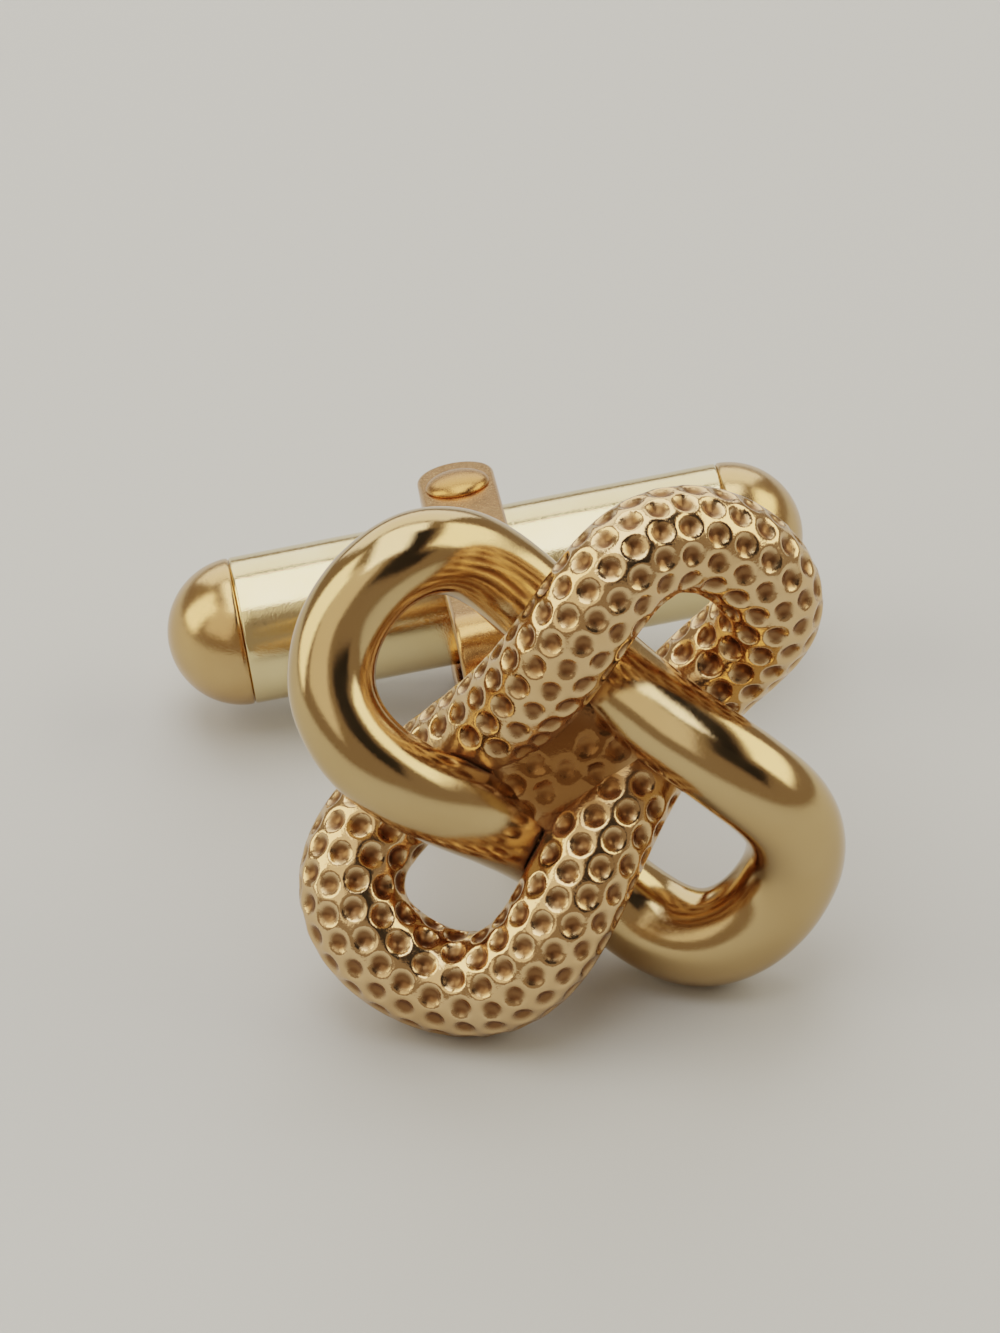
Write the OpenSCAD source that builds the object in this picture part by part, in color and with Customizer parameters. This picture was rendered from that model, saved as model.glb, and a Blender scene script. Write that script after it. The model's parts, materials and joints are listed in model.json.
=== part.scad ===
// One cufflink of a pair: a love knot of two linked loops, one polished and one dimpled,
// on a U-shaped post frame with a swivel toggle. Sizes are in millimetres.
// The pieces are drawn with the knot face-on: x to the right, y up and z towards the viewer,
// so the post and the toggle are at negative z. The at_rest modules then lay them down as the
// cufflink lies by itself, on two lobes of the knot and the end of the frame's lower arm.

/* [Dimpled loop] */
// Middle of the knot to the tip of the wire's centreline
dimpled_reach = 8.1; // [7.6:0.1:8.6]
// Half the distance between the centrelines of the two legs at the waist
dimpled_waist = 2.2; // [2.0:0.1:2.5]
// How far the loop swells from its waist towards its lobes
dimpled_swell = 3.2; // [2.6:0.1:3.6]
// How far the strand in front swings outwards
dimpled_swing = 0.9; // [0.5:0.1:1.3]
// Diameter of the wire over the lands between the dimples
dimpled_wire_d = 3.2; // [2.8:0.1:3.3]
// Depth of a dimple
dimple_depth = 0.16; // [0.1:0.02:0.24]

/* [Polished loop] */
// Middle of the knot to the tip of the wire's centreline
polished_reach = 8.0; // [7.6:0.1:8.6]
// Half the distance between the centrelines of the two legs at the waist
polished_waist = 2.8; // [2.5:0.1:3.1]
// How far the loop swells from its waist towards its lobes
polished_swell = 2.8; // [2.3:0.1:3.3]
// How far the strand in front swings outwards
polished_swing = 0.7; // [0.4:0.1:1.1]
// Mean diameter of the wire
polished_wire_d = 2.8; // [2.4:0.1:2.9]
// How much thicker the wire is at its lower lobe than at its upper one
polished_growth = 0.4; // [0:0.1:0.5]

/* [Crossings] */
// Height of a strand's centreline over or under the middle plane
strand_rise = 1.5; // [1.4:0.05:1.6]
// How much of that height is held towards the crossings
rise_hold = 0.45; // [0.3:0.05:0.55]
// Gap left round a crossing strand
crossing_gap = 0.04; // [0.02:0.01:0.08]

/* [Post frame] */
// Width of the strip
strip_w = 2.4; // [2.1:0.1:3.0]
// Thickness of the strip
strip_t = 0.95; // [0.8:0.05:1.1]
// Middle plane of the knot to the toggle's axis
post_length = 15.2; // [14.8:0.1:17]
// Side offset of the frame from the middle of the knot
frame_offset = -1.2; // [-1.4:0.1:-0.6]
// Diameter of the soldered foot
foot_d = 1.6; // [1.4:0.1:1.7]
// Arm length past the toggle's axis
arm_end = 2.2; // [1.8:0.1:2.6]

/* [Toggle] */
// Length over the domed ends
toggle_length = 20; // [16:0.5:20]
// Outside diameter
toggle_d = 4.6; // [4:0.1:4.8]
// How far the middle of the bar is from the pivot
toggle_shift = 0.3; // [0:0.1:0.5]
// Wall of the hollow bar and of its end caps
toggle_wall = 0.4; // [0.3:0.05:0.5]
// Diameter of the pivot pin
pin_d = 1.2; // [1:0.1:1.4]
// Radial running clearance between the pin and the toggle
pin_clearance = 0.04; // [0.02:0.01:0.08]

/* [Hidden] */

// Fine gap between pieces that touch in the real cufflink
seat_gap = 0.01;
cut = 1;

// How it lies: lean of the whole link, turn of the knot and of the frame in its plane,
// and the place of the knot's middle, from the point below the middle of the whole
lean_back = 15.3;
knot_turn = 0.88;
frame_turn = 6.8;
rest_place = [0.894, -6.454, 7.968];

// Rings and sides of the swept loops. The dimples sit on every third corner of a net of
// triangles, so the sides come in threes and the rings in twos.
dimpled_rings = 90;
dimpled_sides = 18;
polished_rings = 88;
polished_sides = 16;
dimpled_angle = 45;
polished_angle = 135;
// Shift of the rings, in degrees, that evens out their spacing
ring_even = 5;

// Half length, half width and half height of the cast web, and how low its middle is
web_size = [1.9, 1.9, 1.4];
web_low = 0.7;

foot_front = 1.35;
foot_aside = -0.2;
strip_front = 2.8;
strip_back = strip_front + strip_t;
arm_gap = toggle_d + 0.2;
arm_out = arm_gap / 2 + strip_t;
bend_r = 1.4;
rivet_h = 0.4;
rivet_d = 2.0;
cap_r = toggle_d / 2;
barrel_half = toggle_length / 2 - cap_r;
spigot_l = 1.2;
spigot_wall = 0.35;

function unit(v) = v / norm(v);
function turned(p, a) = [p.x * cos(a) - p.y * sin(a), p.x * sin(a) + p.y * cos(a), p.z];

// A loop is [reach, waist, swell, swing, angle in the knot's plane, wire's growth]
dimpled_form = [dimpled_reach, dimpled_waist, dimpled_swell, dimpled_swing, dimpled_angle, 0];
polished_form = [polished_reach, polished_waist, polished_swell, polished_swing, polished_angle,
                 polished_growth];

// A point of the centreline. The angle runs once round the loop, from 0 at one lobe's tip, and
// the strand is in front over the first and third quarter.
function centre(form, a) =
    let (along = form[0] * cos(a),
         across = sin(a) * (form[1] + form[2] * pow(cos(a), 2)) + form[3] * pow(sin(a), 2) * cos(a),
         height = strand_rise * sin(2 * a) - rise_hold * sin(4 * a))
    turned([along, across, height], form[4]);

// Radius of the wire at an angle, from its mean radius and its growth
function wire_r(form, r, a) = r - form[5] / 4 * cos(a);

// The angle of a ring, with the rings drawn together where the wire runs fast
function ring_angle(i, rings) = let (a = 360 * i / rings) a + ring_even * sin(2 * a);

// One ring: sides corners on the wire, turned by half a side on every second ring. A corner is
// pushed in by pit where it is a dimple, and by less on the inside of a lobe's bend, at the
// angle 180 round the wire, where the rings crowd together.
function is_dimple(i, k) = (k - floor(i / 2) - i) % 3 == 0;
function pit_share(a, q) = 1 - 0.85 * pow(cos(a), 4) * max(0, -cos(q));
function ring(form, r, pit, i, rings, sides) =
    let (a = ring_angle(i, rings),
         p = centre(form, a),
         ahead = unit(centre(form, a + 0.5) - centre(form, a - 0.5)),
         side = unit(cross(ahead, [0, 0, 1])),
         up = cross(side, ahead),
         ra = wire_r(form, r, a),
         half = 0.5 * (i % 2))
    [for (k = [0:sides - 1])
        let (q = 360 * (k + half) / sides,
             rk = is_dimple(i, k) ? ra - pit * pit_share(a, q) : ra)
        p + rk * (cos(q) * side + sin(q) * up)];

// Triangles between ring i and the next, which is turned half a side one way or back
function band(i, rings, sides) =
    let (j = (i + 1) % rings, odd = i % 2)
    [for (k = [0:sides - 1])
        let (n = (k + 1) % sides,
             a = i * sides + k, b = i * sides + n,
             c = j * sides + k, d = j * sides + n)
        each (odd == 0 ? [[a, b, c], [b, d, c]] : [[a, b, d], [a, d, c]])];

module loop_solid(form, r, pit, rings, sides) {
    polyhedron(
        points = [for (i = [0:rings - 1]) each ring(form, r, pit, i, rings, sides)],
        faces = [for (i = [0:rings - 1]) each band(i, rings, sides)]);
}

// The cast web between the dimpled legs, flat at the back where the foot is soldered on
module web(grow) {
    intersection() {
        rotate([0, 0, dimpled_angle])
            translate([0, 0, -web_low])
            scale([for (half = web_size) half + grow])
            sphere(r = 1, $fn = 24);
        translate([-3, -3, -foot_front + seat_gap - grow])
            cube([6, 6, 3]);
    }
}

module dimpled_shape(pit, grow) {
    loop_solid(dimpled_form, dimpled_wire_d / 2 + grow, pit, dimpled_rings, dimpled_sides);
    web(grow);
}

// Lays the knot, or the frame with its toggle, on the surface
module at_rest(turn) {
    translate(rest_place)
        rotate([90 - lean_back, 0, 0])
        rotate([0, 0, turn])
        children();
}
module knot_at_rest() { at_rest(knot_turn) children(); }
module frame_at_rest() { at_rest(frame_turn) translate([frame_offset, 0, 0]) children(); }

module dimpled_loop() {
    color([0.76, 0.58, 0.36])
        knot_at_rest()
        union() { dimpled_shape(dimple_depth, 0); }
}

module polished_loop() {
    color([0.80, 0.66, 0.42])
        knot_at_rest()
        difference() {
            loop_solid(polished_form, polished_wire_d / 2, 0, polished_rings, polished_sides);
            dimpled_shape(0, crossing_gap);
        }
}

// Side outline of the frame: first axis is y, second is the distance behind the knot
module frame_outline() {
    difference() {
        union() {
            translate([-arm_out, strip_front + bend_r])
                square([2 * arm_out, post_length + arm_end - strip_front - bend_r]);
            translate([-arm_out + bend_r, strip_front])
                square([2 * (arm_out - bend_r), bend_r + cut]);
            for (s = [-1, 1])
                translate([s * (arm_out - bend_r), strip_front + bend_r])
                    circle(r = bend_r, $fn = 64);
        }
        translate([-arm_gap / 2, strip_back])
            square([arm_gap, post_length + arm_end]);
    }
}

// Plan of the strip, round at the ends of the arms
module strip_plan() {
    round_at = post_length + arm_end - strip_w / 2;
    translate([-strip_w / 2, strip_front - cut])
        square([strip_w, round_at - strip_front + cut]);
    translate([0, round_at])
        circle(d = strip_w, $fn = 64);
}

module post_frame() {
    color([0.84, 0.72, 0.48])
        frame_at_rest()
        difference() {
            union() {
                intersection() {
                    rotate([-90, 0, 90])
                        linear_extrude(strip_w + cut, center = true)
                        frame_outline();
                    rotate([-90, 0, 0])
                        linear_extrude(2 * arm_out + cut, center = true)
                        strip_plan();
                }
                translate([foot_aside - frame_offset, 0, -strip_front - strip_t / 2])
                    cylinder(d = foot_d, h = strip_front + strip_t / 2 - foot_front, $fn = 48);
            }
            translate([0, 0, -post_length])
                rotate([90, 0, 0])
                cylinder(d = pin_d + 2 * seat_gap, h = 2 * arm_out + cut, center = true, $fn = 48);
        }
}

// Half outline of a rivet head, flat side on the arm
module rivet_head() {
    dome_r = (pow(rivet_d / 2, 2) + pow(rivet_h, 2)) / (2 * rivet_h);
    rotate_extrude($fn = 48)
        intersection() {
            translate([0, rivet_h - dome_r])
                circle(r = dome_r, $fn = 96);
            square([rivet_d, rivet_h + cut]);
        }
}

module pivot_pin() {
    color([0.80, 0.68, 0.46])
        frame_at_rest()
        translate([0, 0, -post_length])
        union() {
            rotate([90, 0, 0])
                cylinder(d = pin_d, h = 2 * (arm_out + seat_gap + rivet_h / 4), center = true, $fn = 48);
            for (s = [-1, 1])
                rotate([-90 * s, 0, 0])
                translate([0, 0, arm_out + seat_gap])
                rivet_head();
        }
}

module toggle_barrel() {
    color([0.87, 0.79, 0.56])
        frame_at_rest()
        translate([0, 0, -post_length])
        difference() {
            translate([toggle_shift, 0, 0])
                rotate([0, 90, 0])
                cylinder(d = toggle_d, h = 2 * barrel_half, center = true, $fn = 96);
            translate([toggle_shift, 0, 0])
                rotate([0, 90, 0])
                cylinder(d = toggle_d - 2 * toggle_wall, h = 2 * barrel_half + cut, center = true, $fn = 96);
            rotate([90, 0, 0])
                cylinder(r = pin_d / 2 + pin_clearance, h = toggle_d + cut, center = true, $fn = 48);
        }
}

// Half outline of an end cap: a domed shell with a collar that meets the bar and a spigot that
// plugs into it
module cap_outline() {
    spigot_r = cap_r - toggle_wall - 2 * seat_gap;
    intersection() {
        difference() {
            circle(r = cap_r, $fn = 96);
            circle(r = cap_r - toggle_wall, $fn = 96);
        }
        translate([0, seat_gap])
            square([cap_r, cap_r]);
    }
    translate([spigot_r - spigot_wall, seat_gap])
        square([spigot_wall + toggle_wall / 2, 2 * toggle_wall]);
    translate([spigot_r - spigot_wall, -spigot_l])
        square([spigot_wall, spigot_l + toggle_wall]);
}

module toggle_cap(s) {
    color([0.82, 0.70, 0.42])
        frame_at_rest()
        translate([toggle_shift, 0, -post_length])
        rotate([0, 90 * s, 0])
        translate([0, 0, barrel_half])
        rotate_extrude($fn = 96)
        cap_outline();
}
module toggle_cap_left() { toggle_cap(-1); }
module toggle_cap_right() { toggle_cap(1); }

polished_loop();
dimpled_loop();
post_frame();
pivot_pin();
toggle_barrel();
toggle_cap_left();
toggle_cap_right();
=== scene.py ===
import json
from math import ceil, cos, pi, radians, sin

import bmesh
import bpy
import numpy as np
from mathutils import Matrix, Vector


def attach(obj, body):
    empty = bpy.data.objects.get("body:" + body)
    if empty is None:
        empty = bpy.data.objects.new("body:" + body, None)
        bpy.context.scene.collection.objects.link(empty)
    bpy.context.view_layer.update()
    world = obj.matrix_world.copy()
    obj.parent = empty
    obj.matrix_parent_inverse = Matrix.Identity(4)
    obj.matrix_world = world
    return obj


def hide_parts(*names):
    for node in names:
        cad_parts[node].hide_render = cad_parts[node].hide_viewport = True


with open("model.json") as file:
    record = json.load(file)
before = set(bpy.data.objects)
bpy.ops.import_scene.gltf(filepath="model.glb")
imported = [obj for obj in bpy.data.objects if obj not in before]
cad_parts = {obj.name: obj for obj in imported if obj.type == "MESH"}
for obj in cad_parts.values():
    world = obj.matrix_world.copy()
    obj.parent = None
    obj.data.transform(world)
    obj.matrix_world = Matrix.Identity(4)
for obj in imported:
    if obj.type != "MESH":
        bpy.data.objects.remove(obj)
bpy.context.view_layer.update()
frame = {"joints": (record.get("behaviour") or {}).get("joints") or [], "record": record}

# The polished loop
# One strand of the knot, a closed oval of plain wire that grows from 2.6 mm at its upper lobe to
# 3.0 mm at its lower one. It is cast in brass with the other strand and beds into it where they
# cross, and it is gilded and buffed by hand, which leaves the mirror a little wavy.

# Each piece is drawn in millimetres, with the knot's face towards +Z and the toggle behind it
MM = 0.001

# An oval reaches out along its turn, and swells and swings aside from its waist to its lobes
POLISHED_OVAL = {"reach": 8.0, "waist": 2.8, "swell": 2.8, "swing": 0.7, "turn": radians(135)}
DIMPLED_OVAL = {"reach": 8.1, "waist": 2.2, "swell": 3.2, "swing": 0.9, "turn": radians(45)}
POLISHED_WIRE = 2.8
POLISHED_GROWTH = 0.4
DIMPLED_WIRE = 3.2
POLISHED_POINTS = 560
DIMPLED_POINTS = 600
POLISHED_SIDES = 96

# The strands wave over and under each other, and are held level for a stretch at each crossing
RISE = 1.5
RISE_HOLD = 0.45
RING_EVEN = radians(5)
BED_GAP = 0.04

# Hand buffing leaves low waves, about 2.4 mm long
WAVINESS = 0.03
WAVE_SCALE = 0.42

# The brown film and painted shade begin this far from the other wire, which is felt at every
# fourth point
POLISHED_CREVICE = 0.45
CREVICE_STRIDE = 4

# How the knot stands on the post, and is turned on it by the soldering
POST_LENGTH = 15.2
FRAME_ASIDE = 1.2
SOLDERED_TURN = radians(5.92)

# The colour sockets of a Mix node, which share their names with its other sockets
COLOUR_A = 6
COLOUR_B = 7
MIXED = 2


def centreline(points, reach, waist, swell, swing, turn):
    """Points of a loop's centreline, and the angle that each has from the first lobe's tip."""
    angle = np.linspace(0, 2 * pi, points, endpoint=False)
    angle = angle + RING_EVEN * np.sin(2 * angle)
    c, s = np.cos(angle), np.sin(angle)
    along = reach * c
    aside = s * (waist + swell * c * c) + swing * s * s * c
    height = RISE * np.sin(2 * angle) - RISE_HOLD * np.sin(4 * angle)
    path = np.stack([
        along * cos(turn) - aside * sin(turn),
        along * sin(turn) + aside * cos(turn),
        height], axis=1)
    return path, angle


def add(tree, kind, inputs=(), **settings):
    """Adds a node with its settings. An input is a value, or the output of another node."""
    node = tree.nodes.new(kind)
    for name, value in settings.items():
        setattr(node, name, value)
    for key, value in dict(inputs).items():
        if isinstance(value, bpy.types.NodeSocket):
            tree.links.new(value, node.inputs[key])
        else:
            node.inputs[key].default_value = value
    return node


def new_tree(name, inputs):
    """A Geometry Nodes tree with named inputs, its input node and its output node."""
    tree = bpy.data.node_groups.new(name, "GeometryNodeTree")
    tree.interface.new_socket("Geometry", in_out="OUTPUT", socket_type="NodeSocketGeometry")
    tree.interface.new_socket("Geometry", in_out="INPUT", socket_type="NodeSocketGeometry")
    for label, kind in inputs.items():
        tree.interface.new_socket(label, in_out="INPUT", socket_type="NodeSocket" + kind)
    return tree, add(tree, "NodeGroupInput").outputs, add(tree, "NodeGroupOutput")


def finish_tree(tree, geometry, material, out):
    """Ends a tree: real geometry, smooth, in its material."""
    real = add(tree, "GeometryNodeRealizeInstances", {"Geometry": geometry})
    smooth = add(tree, "GeometryNodeSetShadeSmooth", {"Geometry": real.outputs[0]})
    finish = add(tree, "GeometryNodeSetMaterial",
                 {"Geometry": smooth.outputs[0], "Material": material})
    tree.links.new(finish.outputs[0], out.inputs[0])


def grown(mesh, *steps):
    """The plain mesh that Geometry Nodes trees make of a mesh, one after another."""
    holder = bpy.data.objects.new("holder", mesh)
    bpy.context.scene.collection.objects.link(holder)
    for tree, values in steps:
        modifier = holder.modifiers.new(tree.name, "NODES")
        modifier.node_group = tree
        for item in tree.interface.items_tree:
            if item.in_out == "INPUT" and item.name in values:
                modifier[item.identifier] = values[item.name]
    grid = bpy.context.evaluated_depsgraph_get()
    made = bpy.data.meshes.new_from_object(holder.evaluated_get(grid))
    bpy.data.objects.remove(holder)
    return made


def path_mesh(name, path, radii):
    """A closed path as edges, with the wire's radius at each point."""
    count = len(path)
    mesh = bpy.data.meshes.new(name)
    mesh.from_pydata(path.tolist(), [(i, (i + 1) % count) for i in range(count)], [])
    mesh.attributes.new("wire_radius", "FLOAT", "POINT").data.foreach_set("value", radii)
    return mesh


def helper_object(name, mesh):
    """An object that a tree reads and that is not part of the cufflink."""
    helper = bpy.data.objects.new(name, mesh)
    bpy.context.scene.collection.objects.link(helper)
    return helper


def wire_tree():
    """Sweeps a round wire along a closed path of edges."""
    tree, given, out = new_tree("swept_wire", {"Sides": "Int"})
    curve = add(tree, "GeometryNodeMeshToCurve", {"Mesh": given["Geometry"]})
    upright = add(tree, "GeometryNodeSetCurveNormal", {"Curve": curve.outputs[0]}, mode="Z_UP")
    radius = add(tree, "GeometryNodeInputNamedAttribute", {"Name": "wire_radius"})
    ring = add(tree, "GeometryNodeCurvePrimitiveCircle",
               {"Resolution": given["Sides"], "Radius": 1.0})
    wire = add(tree, "GeometryNodeCurveToMesh",
               {"Curve": upright.outputs[0], "Profile Curve": ring.outputs[0],
                "Scale": radius.outputs[0]})
    tree.links.new(wire.outputs[0], out.inputs[0])
    return tree


def bed_tree():
    """Waves a mesh a little, and pushes it out of a wire round a helper's path."""
    tree, given, out = new_tree("bedded_wire", {
        "Path": "Object", "Bed radius": "Float", "Waviness": "Float", "Material": "Material"})
    place = add(tree, "GeometryNodeInputPosition")
    ripple = add(tree, "ShaderNodeTexNoise",
                 {"Vector": place.outputs[0], "Scale": WAVE_SCALE, "Detail": 1.0})
    swing = add(tree, "ShaderNodeMapRange", {"Value": ripple.outputs["Fac"], "To Min": -1.0})
    amount = add(tree, "ShaderNodeMath", {0: swing.outputs[0], 1: given["Waviness"]},
                 operation="MULTIPLY")
    outward = add(tree, "GeometryNodeInputNormal")
    wave = add(tree, "ShaderNodeVectorMath", {0: outward.outputs[0], "Scale": amount.outputs[0]},
               operation="SCALE")
    waved = add(tree, "GeometryNodeSetPosition",
                {"Geometry": given["Geometry"], "Offset": wave.outputs[0]})
    other = add(tree, "GeometryNodeObjectInfo", {"Object": given["Path"]})
    near = add(tree, "GeometryNodeProximity", {"Geometry": other.outputs["Geometry"]},
               target_element="EDGES")
    away = add(tree, "ShaderNodeVectorMath", {0: place.outputs[0], 1: near.outputs["Position"]},
               operation="SUBTRACT")
    away_unit = add(tree, "ShaderNodeVectorMath", {0: away.outputs[0]}, operation="NORMALIZE")
    short = add(tree, "ShaderNodeMath", {0: given["Bed radius"], 1: near.outputs["Distance"]},
                operation="SUBTRACT")
    lack = add(tree, "ShaderNodeMath", {0: short.outputs[0], 1: 0.0}, operation="MAXIMUM")
    push = add(tree, "ShaderNodeVectorMath",
               {0: away_unit.outputs[0], "Scale": lack.outputs[0]}, operation="SCALE")
    bedded = add(tree, "GeometryNodeSetPosition",
                 {"Geometry": waved.outputs[0], "Offset": push.outputs[0]})
    finish_tree(tree, bedded.outputs[0], given["Material"], out)
    return tree


def colour(code):
    """Linear colour of an sRGB hex code."""
    parts = [int(code[i:i + 2], 16) / 255 for i in (1, 3, 5)]
    return [p / 12.92 if p <= 0.04045 else ((p + 0.055) / 1.055) ** 2.4 for p in parts] + [1]


def new_metal(name):
    """An empty material for metal: its tree, its shader, and the drawn place in millimetres."""
    material = bpy.data.materials.new(name)
    material.use_nodes = True
    tree = material.node_tree
    tree.nodes.clear()
    shader = add(tree, "ShaderNodeBsdfPrincipled", {"Metallic": 1.0})
    add(tree, "ShaderNodeOutputMaterial", {"Surface": shader.outputs[0]})
    drawn = add(tree, "ShaderNodeAttribute", attribute_name="drawn")
    return material, tree, shader, drawn.outputs["Vector"]


# Gilded brass, buffed: a near mirror, with tone patches of 3 mm and a faint haze of 0.8 mm from
# handling. Its hair scratches are drawn at 0.07 mm, coarser than real. Near the other wire it is
# darkened brown and made less metallic, partly as a brown film in the crevices and partly as
# painted shade.
def polished_gold():
    material, tree, shader, drawn = new_metal("gilded_cast_brass_buffed")
    crevice = add(tree, "ShaderNodeAttribute", attribute_name="crevice")
    cloud = add(tree, "ShaderNodeTexNoise", {"Vector": drawn, "Scale": 0.35, "Detail": 3.0})
    haze = add(tree, "ShaderNodeTexNoise", {"Vector": drawn, "Scale": 1.3, "Detail": 5.0})
    scratches = add(tree, "ShaderNodeTexNoise",
                    {"Vector": drawn, "Scale": 14.0, "Detail": 4.0, "Distortion": 2.0})
    body = add(tree, "ShaderNodeMix",
               {0: cloud.outputs["Fac"], COLOUR_A: colour("#C9AC7F"), COLOUR_B: colour("#BC9B6B")},
               data_type="RGBA")
    # Painted shade and brown film: darker and less metallic beside the other wire
    film_and_shade = add(tree, "ShaderNodeMix",
               {0: crevice.outputs["Fac"], COLOUR_A: body.outputs[MIXED],
                COLOUR_B: colour("#845426")}, data_type="RGBA")
    tree.links.new(film_and_shade.outputs[MIXED], shader.inputs["Base Color"])
    metal_share = add(tree, "ShaderNodeMapRange",
               {"Value": crevice.outputs["Fac"], "To Min": 1.0, "To Max": 0.55})
    tree.links.new(metal_share.outputs[0], shader.inputs["Metallic"])
    rough = add(tree, "ShaderNodeMapRange",
                {"Value": haze.outputs["Fac"], "From Min": 0.3, "From Max": 0.7,
                 "To Min": 0.06, "To Max": 0.13})
    tree.links.new(rough.outputs[0], shader.inputs["Roughness"])
    bump = add(tree, "ShaderNodeBump",
               {"Height": scratches.outputs["Fac"], "Strength": 0.12, "Distance": 0.02 * MM})
    tree.links.new(bump.outputs[0], shader.inputs["Normal"])
    return material


def corners_of(mesh):
    """The corners of a mesh, one in each row."""
    corners = np.empty(3 * len(mesh.vertices), np.float32)
    mesh.vertices.foreach_get("co", corners)
    return corners.reshape(-1, 3)


def near_wire(corners, path, radius, reach):
    """How near each corner lies to a wire: 1 where it touches, 0 from the reach on."""
    gap = np.full(len(corners), np.inf)
    for point in path[::CREVICE_STRIDE]:
        gap = np.minimum(gap, np.linalg.norm(corners - point, axis=1))
    return np.clip(1 - (gap - radius) / reach, 0, 1) ** 2


def mark_crevice(mesh, near):
    """Keeps on a mesh how far each corner lies in a crevice, for brown film and painted shade."""
    mark = mesh.attributes.new("crevice", "FLOAT", "POINT")
    mark.data.foreach_set("value", near.astype(np.float32))


def laid(middle, turn):
    """Matrix that lays a piece drawn in millimetres at a middle, turned about the post."""
    turned = Matrix((across, up_arm, to_face)).transposed() @ Matrix.Rotation(turn, 3, "Z")
    return Matrix.Translation(middle) @ turned.to_4x4() @ Matrix.Scale(MM, 4)


def fitted(name, mesh, place, body, node=None):
    """The finished piece: its mesh laid in place, riding on its body, for the solid it replaces."""
    drawn = mesh.attributes.new("drawn", "FLOAT_VECTOR", "POINT")
    drawn.data.foreach_set("vector", corners_of(mesh).ravel())
    mesh.transform(place)
    piece = bpy.data.objects.new(name, mesh)
    bpy.context.scene.collection.objects.link(piece)
    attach(piece, body)
    if node:
        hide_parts(node)
    return piece


# The toggle's pivot and the way along the post say how the whole cufflink lies
pivot = Vector(frame["joints"][0]["pos_m"])
up_arm = Vector(frame["joints"][0]["axis"]).normalized()
to_face = -Vector(frame["record"]["mounts"][0]["axis"]).normalized()
across = up_arm.cross(to_face)
frame_middle = pivot + to_face * POST_LENGTH * MM
knot_place = laid(frame_middle + across * FRAME_ASIDE * MM, -SOLDERED_TURN)

dimpled_r = DIMPLED_WIRE / 2
polished_r = POLISHED_WIRE / 2
polished_path, polished_angle = centreline(POLISHED_POINTS, **POLISHED_OVAL)
polished_radii = polished_r - POLISHED_GROWTH / 4 * np.cos(polished_angle)
dimpled_path, dimpled_angle = centreline(DIMPLED_POINTS, **DIMPLED_OVAL)
dimpled_radii = np.full(len(dimpled_angle), dimpled_r)

sweep = wire_tree()
bed_helper = helper_object("bed_path", path_mesh("bed_path", dimpled_path, dimpled_radii))
polished_mesh = grown(
    path_mesh("polished_loop_cast", polished_path, polished_radii),
    (sweep, {"Sides": POLISHED_SIDES}),
    (bed_tree(), {
        "Path": bed_helper, "Bed radius": dimpled_r + BED_GAP, "Waviness": WAVINESS,
        "Material": polished_gold()}))
bpy.data.objects.remove(bed_helper)
# Beside the dimpled wire the polished one gets brown film and painted shade
polished_near = near_wire(corners_of(polished_mesh), dimpled_path, dimpled_r, POLISHED_CREVICE)
mark_crevice(polished_mesh, polished_near)
fitted("polished_loop_cast", polished_mesh, knot_place, "link", "polished_loop")


# The dimpled loop
# The other strand of the knot, a closed oval of 3.2 mm wire. It is cast in brass with staggered
# rows of small round dimples, which cover the web between its legs too, and gilded. The lands are
# rubbed bright, and a brown film stays in the pits. The pocket in the middle of the knot is
# darkened brown as painted shade, and the creases beside the other wire as brown film and painted
# shade.
DIMPLE_ACROSS = 0.8
DIMPLE_DEEP = 0.2
DIMPLE_PITCH = 0.95
ROW_PITCH = DIMPLE_PITCH * sin(pi / 3)
BOWL_POWER = 1.2
DIMPLED_SIDES = 144

# The rows don't close evenly round a bent wire, so near dimples push each other apart for a while
SPREAD_TO = 1.15 * DIMPLE_PITCH
SPREAD_STEP = 0.25 * DIMPLE_PITCH
SPREAD_ROUNDS = 40

# The web is a ball squeezed to these half sizes, and cut flat at its back
WEB_SIZE = np.array([3.7, 3.5, 2.0])
WEB_LOW = -0.75
WEB_BACK = -1.34
WEB_SEGMENTS = 110
WEB_RINGS = 60
UNCUT = -100.0

# Margins without dimples, beside the other wire and in the creases between the web and its legs
WIRE_MARGIN = 0.35
LEG_MARGIN = 0.15

# Brown film and painted shade reach this far from the other wire. Painted shade covers the whole
# pocket, and fades out towards its reach
DIMPLED_CREVICE = 0.6
POCKET_MIDDLE = (0, 0, -0.6)
POCKET_REACH = 3.3
POCKET_EDGE = 3


def unit(vectors):
    """Vectors of length one."""
    return vectors / np.linalg.norm(vectors, axis=-1, keepdims=True)


def around(path):
    """Directions sideways and up from a closed path, square to it."""
    ahead = unit(np.roll(path, -1, axis=0) - np.roll(path, 1, axis=0))
    side = unit(np.cross(ahead, [0, 0, 1]))
    return side, np.cross(side, ahead)


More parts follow.
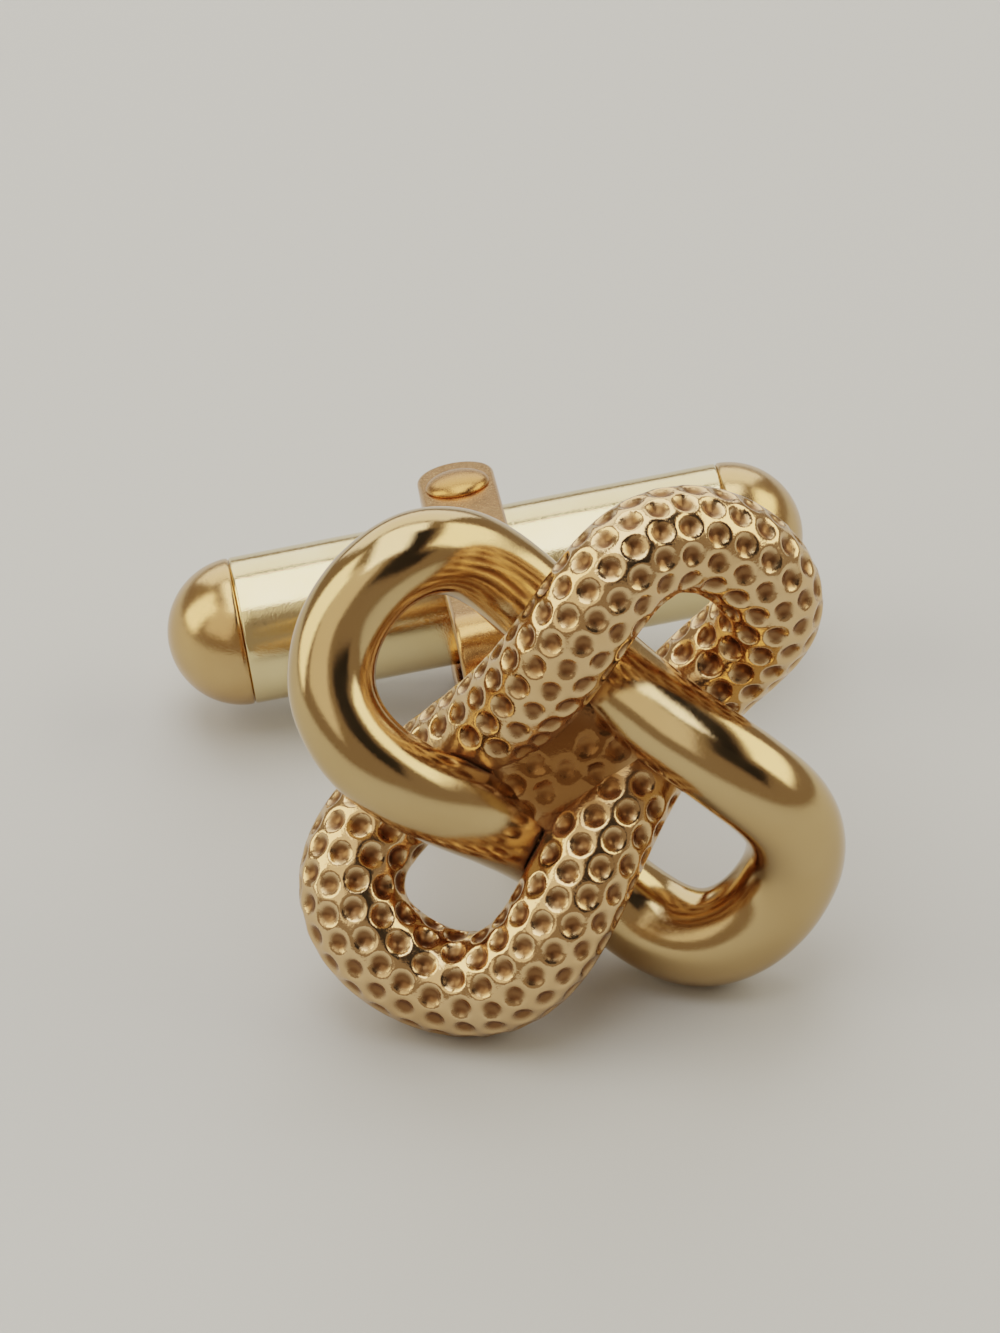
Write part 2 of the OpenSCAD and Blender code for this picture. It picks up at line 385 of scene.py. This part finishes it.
def wire_spots(path, radius):
    """Middles of the dimples: staggered rows round the wire, then spread until they are even."""
    side, up = around(path)
    rows = 2 * round(pi * radius / ROW_PITCH)
    spots = []
    for row in range(rows):
        turn = 2 * pi * row / rows
        line = path + radius * (cos(turn) * side + sin(turn) * up)
        line = np.vstack([line, line[:1]])
        run = np.concatenate([[0], np.cumsum(np.linalg.norm(np.diff(line, axis=0), axis=1))])
        count = round(run[-1] / DIMPLE_PITCH)
        at = (np.arange(count) + row % 2 / 2) * run[-1] / count
        spots.append(np.stack([np.interp(at, run, line[:, axis]) for axis in range(3)], axis=1))
    spots = np.vstack(spots)
    for _ in range(SPREAD_ROUNDS):
        apart = spots[:, None] - spots[None]
        gap = np.linalg.norm(apart, axis=2)
        np.fill_diagonal(gap, np.inf)
        push = np.clip(1 - gap / SPREAD_TO, 0, None) / gap
        spots = spots + SPREAD_STEP * (apart * push[:, :, None]).sum(axis=1)
        near = path[np.linalg.norm(spots[:, None] - path[None], axis=2).argmin(axis=1)]
        spots = near + radius * unit(spots - near)
    return spots


def web_spots(turn):
    """Middles of the dimples on the front of the web, in rows that lie along the legs."""
    most = ceil(max(WEB_SIZE) / ROW_PITCH)
    spots = []
    for row in range(-most, most + 1):
        y = row * ROW_PITCH
        for step in range(-most, most + 1):
            x = (step + row % 2 / 2) * DIMPLE_PITCH
            left = 1 - (x / WEB_SIZE[0]) ** 2 - (y / WEB_SIZE[1]) ** 2
            if left > 0:
                spots.append((x * cos(turn) - y * sin(turn), x * sin(turn) + y * cos(turn),
                              WEB_LOW + WEB_SIZE[2] * left ** 0.5))
    return np.array(spots)


def off_web(spots, turn):
    """The dimples of the wire that the web leaves free."""
    along = spots[:, 0] * cos(turn) + spots[:, 1] * sin(turn)
    aside = spots[:, 1] * cos(turn) - spots[:, 0] * sin(turn)
    inside = np.stack([along, aside, spots[:, 2] - WEB_LOW], axis=1) / WEB_SIZE
    return spots[(inside ** 2).sum(axis=1) > 1]


def off_wire(spots, path, radius):
    """The dimples that a wire leaves free."""
    return spots[np.linalg.norm(spots[:, None] - path[None], axis=2).min(axis=1) > radius]


def dimple_tree():
    """Joins the web to the wire and presses a round dimple at each point of a helper object."""
    tree, given, out = new_tree("pressed_dimples", {
        "Spots": "Object", "Across": "Float", "Deep": "Float", "Web size": "Vector",
        "Web middle": "Vector", "Web turn": "Rotation", "Material": "Material"})
    ball = add(tree, "GeometryNodeMeshUVSphere",
               {"Segments": WEB_SEGMENTS, "Rings": WEB_RINGS, "Radius": 1.0})
    web = add(tree, "GeometryNodeTransform",
              {"Geometry": ball.outputs[0], "Translation": given["Web middle"],
               "Rotation": given["Web turn"], "Scale": given["Web size"]})
    place = add(tree, "GeometryNodeInputPosition")
    flat = add(tree, "ShaderNodeVectorMath",
               {0: place.outputs[0], 1: (UNCUT, UNCUT, WEB_BACK)}, operation="MAXIMUM")
    backed = add(tree, "GeometryNodeSetPosition",
                 {"Geometry": web.outputs[0], "Position": flat.outputs[0]})
    both = add(tree, "GeometryNodeJoinGeometry", {"Geometry": backed.outputs[0]})
    tree.links.new(given["Geometry"], both.inputs[0])
    spots = add(tree, "GeometryNodeObjectInfo", {"Object": given["Spots"]})
    near = add(tree, "GeometryNodeProximity", {"Geometry": spots.outputs["Geometry"]},
               target_element="POINTS")
    reach = add(tree, "ShaderNodeMath", {0: near.outputs["Distance"], 1: given["Across"]},
                operation="DIVIDE")
    square = add(tree, "ShaderNodeMath", {0: reach.outputs[0], 1: 2.0}, operation="POWER")
    hollow = add(tree, "ShaderNodeMapRange",
                 {"Value": square.outputs[0], "From Min": 0.5 ** 2, "From Max": 0.0})
    bowl = add(tree, "ShaderNodeMath", {0: hollow.outputs[0], 1: BOWL_POWER}, operation="POWER")
    marked = add(tree, "GeometryNodeStoreNamedAttribute",
                 {"Geometry": both.outputs[0], "Name": "pit", "Value": bowl.outputs[0]})
    outward = add(tree, "GeometryNodeInputNormal")
    pit = add(tree, "GeometryNodeInputNamedAttribute", {"Name": "pit"})
    depth = add(tree, "ShaderNodeMath", {0: pit.outputs[0], 1: given["Deep"]},
                operation="MULTIPLY")
    raised = add(tree, "ShaderNodeVectorMath", {0: outward.outputs[0], "Scale": depth.outputs[0]},
                 operation="SCALE")
    sunk = add(tree, "ShaderNodeVectorMath", {0: raised.outputs[0], "Scale": -1.0},
               operation="SCALE")
    pressed = add(tree, "GeometryNodeSetPosition",
                  {"Geometry": marked.outputs[0], "Offset": sunk.outputs[0]})
    finish_tree(tree, pressed.outputs[0], given["Material"], out)
    return tree


# Gilded brass, cast and punched: rubbed lands in tone patches of 2 mm, and a thin brown film left
# in each pit, which dulls it. The cast grain is drawn at 0.1 mm. In the creases it is darkened
# brown and made less metallic as brown film and painted shade, and in the pocket as painted shade.
def dimpled_gold():
    material, tree, shader, drawn = new_metal("gilded_cast_brass_dimpled")
    pit = add(tree, "ShaderNodeAttribute", attribute_name="pit")
    crevice = add(tree, "ShaderNodeAttribute", attribute_name="crevice")
    cloud = add(tree, "ShaderNodeTexNoise", {"Vector": drawn, "Scale": 0.45, "Detail": 4.0})
    grain = add(tree, "ShaderNodeTexNoise", {"Vector": drawn, "Scale": 9.0, "Detail": 3.0})
    land = add(tree, "ShaderNodeMix",
               {0: cloud.outputs["Fac"], COLOUR_A: colour("#E2BF94"), COLOUR_B: colour("#D2A774")},
               data_type="RGBA")
    film = add(tree, "ShaderNodeMapRange",
               {"Value": pit.outputs["Fac"], "From Min": 0.05, "From Max": 0.75,
                "To Max": 0.85}, interpolation_type="SMOOTHSTEP")
    pitted = add(tree, "ShaderNodeMix",
                 {0: film.outputs[0], COLOUR_A: land.outputs[MIXED], COLOUR_B: colour("#643B18")},
                 data_type="RGBA")
    # Painted shade and brown film: darker and less metallic in the creases and the pocket
    film_and_shade = add(tree, "ShaderNodeMix",
               {0: crevice.outputs["Fac"], COLOUR_A: pitted.outputs[MIXED],
                COLOUR_B: colour("#84592B")}, data_type="RGBA")
    tree.links.new(film_and_shade.outputs[MIXED], shader.inputs["Base Color"])
    metal_share = add(tree, "ShaderNodeMapRange",
               {"Value": crevice.outputs["Fac"], "To Min": 1.0, "To Max": 0.75})
    tree.links.new(metal_share.outputs[0], shader.inputs["Metallic"])
    dull = add(tree, "ShaderNodeMapRange",
               {"Value": grain.outputs["Fac"], "From Min": 0.3, "From Max": 0.7,
                "To Min": 0.1, "To Max": 0.18})
    rough = add(tree, "ShaderNodeMath",
                {0: film.outputs[0], 1: 0.25, 2: dull.outputs[0]}, operation="MULTIPLY_ADD")
    tree.links.new(rough.outputs[0], shader.inputs["Roughness"])
    bump = add(tree, "ShaderNodeBump",
               {"Height": grain.outputs["Fac"], "Strength": 0.25, "Distance": 0.03 * MM})
    tree.links.new(bump.outputs[0], shader.inputs["Normal"])
    return material


web_turn = DIMPLED_OVAL["turn"]
free_spots = off_web(wire_spots(dimpled_path, dimpled_r), web_turn)
all_spots = np.vstack([
    off_wire(free_spots, polished_path, polished_r + WIRE_MARGIN),
    off_wire(web_spots(web_turn), dimpled_path, dimpled_r + LEG_MARGIN)])
spot_mesh = bpy.data.meshes.new("dimple_spots")
spot_mesh.from_pydata(all_spots.tolist(), [], [])
spot_helper = helper_object("dimple_spots", spot_mesh)
dimpled_mesh = grown(
    path_mesh("dimpled_loop_cast", dimpled_path, dimpled_radii),
    (sweep, {"Sides": DIMPLED_SIDES}),
    (dimple_tree(), {
        "Spots": spot_helper, "Across": DIMPLE_ACROSS, "Deep": DIMPLE_DEEP,
        "Web size": tuple(WEB_SIZE), "Web middle": (0, 0, WEB_LOW),
        "Web turn": (0, 0, web_turn), "Material": dimpled_gold()}))
bpy.data.objects.remove(spot_helper)
dimpled_corners = corners_of(dimpled_mesh)
# Painted shade: the pocket in the middle of the knot is darkened, most at its middle
off_middle = np.linalg.norm(dimpled_corners - POCKET_MIDDLE, axis=1)
pocket_shade = np.clip(POCKET_EDGE * (1 - off_middle / POCKET_REACH), 0, 1)
dimpled_near = near_wire(dimpled_corners, polished_path, polished_r, DIMPLED_CREVICE)
mark_crevice(dimpled_mesh, np.maximum(dimpled_near, pocket_shade))
fitted("dimpled_loop_cast", dimpled_mesh, knot_place, "link", "dimpled_loop")


# The post frame
# The back of the cufflink: a strip of brass with round ends, cut, drilled near both ends, bent to
# a U whose arms hold the toggle between them, tumbled and gilded. The closed end of the U faces
# the knot, and is joined to it by the foot.
STRIP_WIDE = 2.4
STRIP_THICK = 0.95
STRIP_FRONT = 2.8
ARM_GAP = 4.8
ARM_END = 2.2
BEND_OUT = 1.4
EDGE_ROUND = 0.16
ARM_RUN = POST_LENGTH + ARM_END - STRIP_FRONT - BEND_OUT
BEND_RADIUS = BEND_OUT - STRIP_THICK / 2
BEND_RUN = BEND_RADIUS * pi / 2
BACK_RUN = ARM_GAP + 2 * STRIP_THICK - 2 * BEND_OUT
STRIP_LENGTH = 2 * ARM_RUN + 2 * BEND_RUN + BACK_RUN
STRIP_STATIONS = 181
FACE_SHARES = (0.75, 0.5, 0.25, 0)
MERGED = 0.0005


def arc(start, stop, step):
    """Angles of an arc in radians, from whole degrees."""
    return [radians(degree) for degree in range(start, stop, step)]


def strip_blank(length, wide, thick, edge):
    """The flat strip: stations along its length, each a ring with rounded edges."""
    end = wide / 2
    bow = arc(90, 0, -6)
    stations = [(end - end * sin(a), cos(a), -sin(a)) for a in bow]
    stations += [(s, 1, 0) for s in np.linspace(end, length - end, STRIP_STATIONS)]
    stations += [(length - end + end * sin(a), cos(a), sin(a)) for a in reversed(bow)]
    rim = [(edge * (1 - cos(a)), thick / 2 - edge + edge * sin(a)) for a in arc(0, 91, 15)]
    rings = []
    for s, half, lean in stations:
        side = [(s - inset * lean, half * (end - inset), z) for inset, z in rim]
        s_top, y_top, z_top = side[-1]
        side += [(s_top, y_top * share, z_top) for share in FACE_SHARES]
        top = side + [(x, -y, z) for x, y, z in reversed(side[:-1])]
        rings.append(top + [(x, y, -z) for x, y, z in reversed(top)])
    return rings


def bent(point):
    """A point of the flat strip on the U: up the lower arm, round the back and along the other."""
    along, aside, out = point
    half = ARM_RUN + BEND_RUN + BACK_RUN / 2
    run = abs(along - half)
    sign = 1 if along > half else -1
    middle = STRIP_FRONT + STRIP_THICK / 2
    if run <= BACK_RUN / 2:
        y = run
        z = middle - out
    elif run <= BACK_RUN / 2 + BEND_RUN:
        turn = (run - BACK_RUN / 2) / BEND_RADIUS
        y = BACK_RUN / 2 + (BEND_RADIUS + out) * sin(turn)
        z = middle + BEND_RADIUS - (BEND_RADIUS + out) * cos(turn)
    else:
        y = BACK_RUN / 2 + BEND_RADIUS + out
        z = middle + BEND_RADIUS + run - BACK_RUN / 2 - BEND_RUN
    return (aside, sign * y, -z)


def skin(name, rings, material):
    """A smooth mesh over rings of corners, merged where they meet, with its faces turned outwards."""
    count = len(rings[0])
    faces = []
    for i in range(len(rings) - 1):
        for k in range(count):
            n = (k + 1) % count
            faces.append((i * count + k, i * count + n, (i + 1) * count + n, (i + 1) * count + k))
    mesh = bpy.data.meshes.new(name)
    mesh.from_pydata([corner for ring in rings for corner in ring], [], faces)
    work = bmesh.new()
    work.from_mesh(mesh)
    bmesh.ops.remove_doubles(work, verts=work.verts, dist=MERGED)
    bmesh.ops.recalc_face_normals(work, faces=work.faces)
    work.to_mesh(mesh)
    work.free()
    mesh.materials.append(material)
    mesh.shade_smooth()
    return mesh


# Gilded brass, tumbled: satin, in tone patches of 2 mm, with fine scratches that run every way.
# They are drawn at 0.1 mm, coarser than real. A part that is polished afterwards is less rough.
def tumbled_gold(name, light, deep, smooth, dull):
    material, tree, shader, drawn = new_metal(name)
    cloud = add(tree, "ShaderNodeTexNoise", {"Vector": drawn, "Scale": 0.5, "Detail": 4.0})
    marks = add(tree, "ShaderNodeTexNoise",
                {"Vector": drawn, "Scale": 10.0, "Detail": 5.0, "Distortion": 1.5})
    body = add(tree, "ShaderNodeMix",
               {0: cloud.outputs["Fac"], COLOUR_A: colour(light), COLOUR_B: colour(deep)},
               data_type="RGBA")
    tree.links.new(body.outputs[MIXED], shader.inputs["Base Color"])
    rough = add(tree, "ShaderNodeMapRange",
                {"Value": marks.outputs["Fac"], "From Min": 0.3, "From Max": 0.7,
                 "To Min": smooth, "To Max": dull})
    tree.links.new(rough.outputs[0], shader.inputs["Roughness"])
    bump = add(tree, "ShaderNodeBump",
               {"Height": marks.outputs["Fac"], "Strength": 0.2, "Distance": 0.02 * MM})
    tree.links.new(bump.outputs[0], shader.inputs["Normal"])
    return material


frame_place = laid(frame_middle, 0)
strip_gold = tumbled_gold("gilded_brass_strip_tumbled", "#CB9F69", "#B5824E", 0.16, 0.3)
strip_rings = strip_blank(STRIP_LENGTH, STRIP_WIDE, STRIP_THICK, EDGE_ROUND)
bent_rings = [[bent(corner) for corner in ring] for ring in strip_rings]
strip_mesh = skin("post_frame_strip", bent_rings, strip_gold)
fitted("post_frame_strip", strip_mesh, frame_place, "link", "post_frame")


# The foot
# A short round neck between the back of the strip and the knot's web. It is silver soldered to
# both, with a small fillet of solder at each end, and gilded with the strip.
FOOT_ACROSS = 1.6
FOOT_FRONT = 1.35
FOOT_ASIDE = 1.0
FOOT_SIDES = 64
FILLET = 0.25
FILLET_BITE = 0.02
FOOT_SUNK = 0.1


def turned_part(name, outline, material, sides, axis):
    """A part turned on a lathe: an outline of (radius, height) pairs spun round an axis."""
    rings = []
    for radius, height in outline:
        ring = []
        for k in range(sides):
            a = 2 * pi * k / sides
            x, y = radius * cos(a), radius * sin(a)
            ring.append({"X": (height, x, y), "Y": (x, height, y), "Z": (x, y, height)}[axis])
        rings.append(ring)
    return skin(name, rings, material)


fillet = [(FOOT_ACROSS / 2 + FILLET * (1 - sin(a)), FILLET * (1 - cos(a)) - FILLET_BITE)
          for a in arc(0, 91, 10)]
foot_outline = [(0, -STRIP_FRONT - FOOT_SUNK)]
foot_outline += [(radius, -STRIP_FRONT + height) for radius, height in fillet]
foot_outline += [(radius, -FOOT_FRONT - height) for radius, height in reversed(fillet)]
foot_outline.append((0, -FOOT_FRONT + FOOT_SUNK))
foot_mesh = turned_part("post_frame_foot", foot_outline, strip_gold, FOOT_SIDES, "Z")
foot_mesh.transform(Matrix.Translation((FOOT_ASIDE, 0, 0)))
fitted("post_frame_foot", foot_mesh, frame_place, "link")


# The pivot pin
# A brass pin of 1.2 mm that is pushed through both arms and the bar, and headed over at both ends
# with low domes. It is gilded with the rest.
PIN_ACROSS = 1.2
PIN_SIDES = 64
HEAD_ACROSS = 2.0
HEAD_HIGH = 0.4
HEAD_STEPS = 12
HEAD_SEAT = 0.01

pivot_place = laid(pivot, 0)
pin_gold = tumbled_gold("gilded_brass_pin", "#C6965C", "#AE7A44", 0.2, 0.34)
head_low = ARM_GAP / 2 + STRIP_THICK + HEAD_SEAT
head_outline = []
for step in range(HEAD_STEPS + 1):
    lean = pi / 2 * step / HEAD_STEPS
    head_outline.append((HEAD_ACROSS / 2 * sin(lean), head_low + HEAD_HIGH * cos(lean)))
head_outline.append((PIN_ACROSS / 2, head_low))
pin_outline = head_outline + [(radius, -height) for radius, height in reversed(head_outline)]
pin_mesh = turned_part("pivot_pin_riveted", pin_outline, pin_gold, PIN_SIDES, "Y")
fitted("pivot_pin_riveted", pin_mesh, pivot_place, "link", "pivot_pin")


# The toggle's bar
# The part that turns crosswise behind the cuff: a drawn brass tube of 4.6 mm with rolled edges,
# drilled across for the pin. It is polished, and gilded in a paler gold than the knot.
TOGGLE_LONG = 20
TOGGLE_ACROSS = 4.6
TOGGLE_WALL = 0.4
TOGGLE_ASIDE = 0.3
ROLLED = 0.1
BAR_SIDES = 160
BAR_STATIONS = 60

bar_gold = tumbled_gold("gilded_brass_tube_polished", "#EAD8AC", "#DEC48E", 0.06, 0.12)
bar_r = TOGGLE_ACROSS / 2
bore_r = bar_r - TOGGLE_WALL
bar_half = TOGGLE_LONG / 2 - bar_r
edge = [(bar_r - ROLLED * (1 - cos(a)), bar_half - ROLLED * (1 - sin(a))) for a in arc(0, 91, 15)]
edge.append((bore_r, bar_half))
outer_run = np.linspace(-bar_half + ROLLED, bar_half - ROLLED, BAR_STATIONS)[1:-1]
bore_run = np.linspace(bar_half, -bar_half, BAR_STATIONS)[1:-1]
bar_outline = [(radius, -height) for radius, height in reversed(edge)]
bar_outline += [(bar_r, height) for height in outer_run] + edge
bar_outline += [(bore_r, height) for height in bore_run]
bar_outline.append(bar_outline[0])
bar_mesh = turned_part("toggle_tube", bar_outline, bar_gold, BAR_SIDES, "X")
bar_mesh.transform(Matrix.Translation((TOGGLE_ASIDE, 0, 0)))
fitted("toggle_tube", bar_mesh, pivot_place, "toggle", "toggle_barrel")


# The toggle's caps
# A domed brass cap closes each end of the bar. It is pressed from sheet with a hollow plug that is
# pushed into the tube, which leaves a fine seam, and it is left a little duller than the tube.
PLUG_PLAY = 0.02
PLUG_WALL = 0.35
PLUG_LONG = 1.2
PLUG_ROOT = 0.5
SEAM = 0.01
RIM_IN = 0.06
RIM_EASE = 0.01
RIM_HIGH = 0.04
CAP_SIDES = 128

cap_gold = tumbled_gold("gilded_brass_cap_satin", "#D0AE7C", "#BE9562", 0.14, 0.24)
plug_r = bore_r - PLUG_PLAY
hollow_r = plug_r - PLUG_WALL
cap_outline = [(0, bar_half + bore_r)]
cap_outline += [(bore_r * cos(a), bar_half + bore_r * sin(a)) for a in arc(85, 20, -8)]
cap_outline += [(hollow_r, bar_half + PLUG_ROOT), (hollow_r, bar_half - PLUG_LONG),
                (plug_r, bar_half - PLUG_LONG), (plug_r, bar_half + SEAM),
                (bar_r - RIM_IN, bar_half + SEAM), (bar_r - RIM_EASE, bar_half + SEAM + RIM_HIGH)]
cap_outline += [(bar_r * cos(a), bar_half + bar_r * sin(a)) for a in arc(4, 90, 3)]
cap_outline.append((0, bar_half + bar_r))
for side, name in ((-1, "left"), (1, "right")):
    outline = [(radius, side * height) for radius, height in cap_outline]
    cap_mesh = turned_part("toggle_end", outline, cap_gold, CAP_SIDES, "X")
    cap_mesh.transform(Matrix.Translation((TOGGLE_ASIDE, 0, 0)))
    fitted("toggle_end_" + name, cap_mesh, pivot_place, "toggle", "toggle_cap_" + name)


# The studio
# A pale matt floor in soft light from boxes above, behind and beside the cufflink, and a weaker
# one at the front left. Two black cards, to the right of the camera and above it, leave the short
# dark slashes that the polished gold has in the photograph. The camera sees no lamp and no card.
FLOOR_SIZE = 6.0
LAMP_AWAY = 0.5
CARD_AWAY = 0.36
WORLD_STRENGTH = 0.55

# Azimuth and elevation in degrees, width and height in metres, watts, and tint
LAMPS = {
    "left_softbox": (-100, 30, 0.3, 0.45, 1.1, "#FFF6E4"),
    "front_left_softbox": (-48, 44, 0.4, 0.42, 0.45, "#FFF2E0"),
    "right_softbox": (95, 36, 0.5, 0.26, 1.15, "#FFF4DE"),
    "top_softbox": (180, 84, 0.4, 0.56, 1.9, "#FFFFFF"),
    "back_softbox": (180, 30, 0.6, 0.36, 1.1, "#FFFFFF"),
}

# Azimuth, elevation and lean in degrees, width and height in metres
CARDS = {
    "front_black_card": (26, 39, 42, 0.26, 0.15),
    "overhead_black_card": (62, 65, -28, 0.34, 0.13),
}


def facing(azimuth, elevation, away, lean=0):
    """Matrix of a panel that faces the cufflink. Azimuth 0 is the front, and + is to the right."""
    a, e = radians(azimuth), radians(elevation)
    back = Vector((sin(a) * cos(e), -cos(a) * cos(e), sin(e)))
    right = Vector((cos(a), sin(a), 0))
    upright = Matrix((right, back.cross(right), back)).transposed()
    turned = upright @ Matrix.Rotation(-radians(lean), 3, "Z")
    return Matrix.Translation(back * away) @ turned.to_4x4()


def plain(name, code, roughness):
    """A plain material of one colour, for what isn't part of the cufflink."""
    material = bpy.data.materials.new(name)
    material.use_nodes = True
    shader = material.node_tree.nodes["Principled BSDF"]
    shader.inputs["Base Color"].default_value = colour(code)
    shader.inputs["Roughness"].default_value = roughness
    return material


def panel(name, wide, high, place, material):
    """A flat panel that isn't part of the cufflink, laid in place."""
    corners = [(-wide / 2, -high / 2, 0), (wide / 2, -high / 2, 0),
               (wide / 2, high / 2, 0), (-wide / 2, high / 2, 0)]
    mesh = bpy.data.meshes.new(name)
    mesh.from_pydata(corners, [], [(0, 1, 2, 3)])
    mesh.transform(place)
    mesh.materials.append(material)
    made = bpy.data.objects.new(name, mesh)
    bpy.context.scene.collection.objects.link(made)
    return made


def softbox(name, place, wide, high, watts, tint):
    """A rectangular lamp that the camera doesn't see."""
    lamp = bpy.data.lights.new(name, "AREA")
    lamp.shape = "RECTANGLE"
    lamp.size = wide
    lamp.size_y = high
    lamp.energy = watts
    lamp.color = colour(tint)[:3]
    holder = bpy.data.objects.new(name, lamp)
    holder.visible_camera = False
    holder.matrix_world = place
    bpy.context.scene.collection.objects.link(holder)


matt_board = plain("pale_matt_board", "#C2C4C2", 0.75)
panel("floor", FLOOR_SIZE, FLOOR_SIZE, Matrix.Identity(4), matt_board)

world = bpy.data.worlds.new("studio")
bpy.context.scene.world = world
world.use_nodes = True
world.node_tree.nodes["Background"].inputs["Color"].default_value = colour("#C4AE94")
world.node_tree.nodes["Background"].inputs["Strength"].default_value = WORLD_STRENGTH

for name, (azimuth, elevation, wide, high, watts, tint) in LAMPS.items():
    softbox(name, facing(azimuth, elevation, LAMP_AWAY), wide, high, watts, tint)

black_card = plain("matt_black_card", "#0C0B0A", 0.5)
for name, (azimuth, elevation, lean, wide, high) in CARDS.items():
    card = panel(name, wide, high, facing(azimuth, elevation, CARD_AWAY, lean), black_card)
    card.visible_camera = False


# The camera
# It looks from the front, a little from the left and from above, as the photograph does, with a
# long lens. Its level line is square to the photograph's azimuth, which rolls it a little.
CAMERA_AT = Vector((-25.384, -288.357, 219.529)) * MM
AIM = Vector((-0.37, -0.45, 6.98)) * MM
PHOTO_AZIMUTH = radians(7.87)
SENSOR = 36
LENS = 320

camera = bpy.data.cameras.new("camera")
camera.sensor_width = SENSOR
camera.lens = LENS
camera.clip_start = 0.01
camera.clip_end = 10
back = (CAMERA_AT - AIM).normalized()
level = Vector((cos(PHOTO_AZIMUTH), -sin(PHOTO_AZIMUTH), 0))
right = (level - back * level.dot(back)).normalized()
looking = Matrix((right, back.cross(right), back)).transposed()
camera_holder = bpy.data.objects.new("camera", camera)
camera_holder.matrix_world = Matrix.Translation(CAMERA_AT) @ looking.to_4x4()
bpy.context.scene.collection.objects.link(camera_holder)
bpy.context.scene.camera = camera_holder
bpy.context.scene.view_settings.view_transform = "Filmic"
bpy.context.scene.view_settings.look = "Medium Contrast"
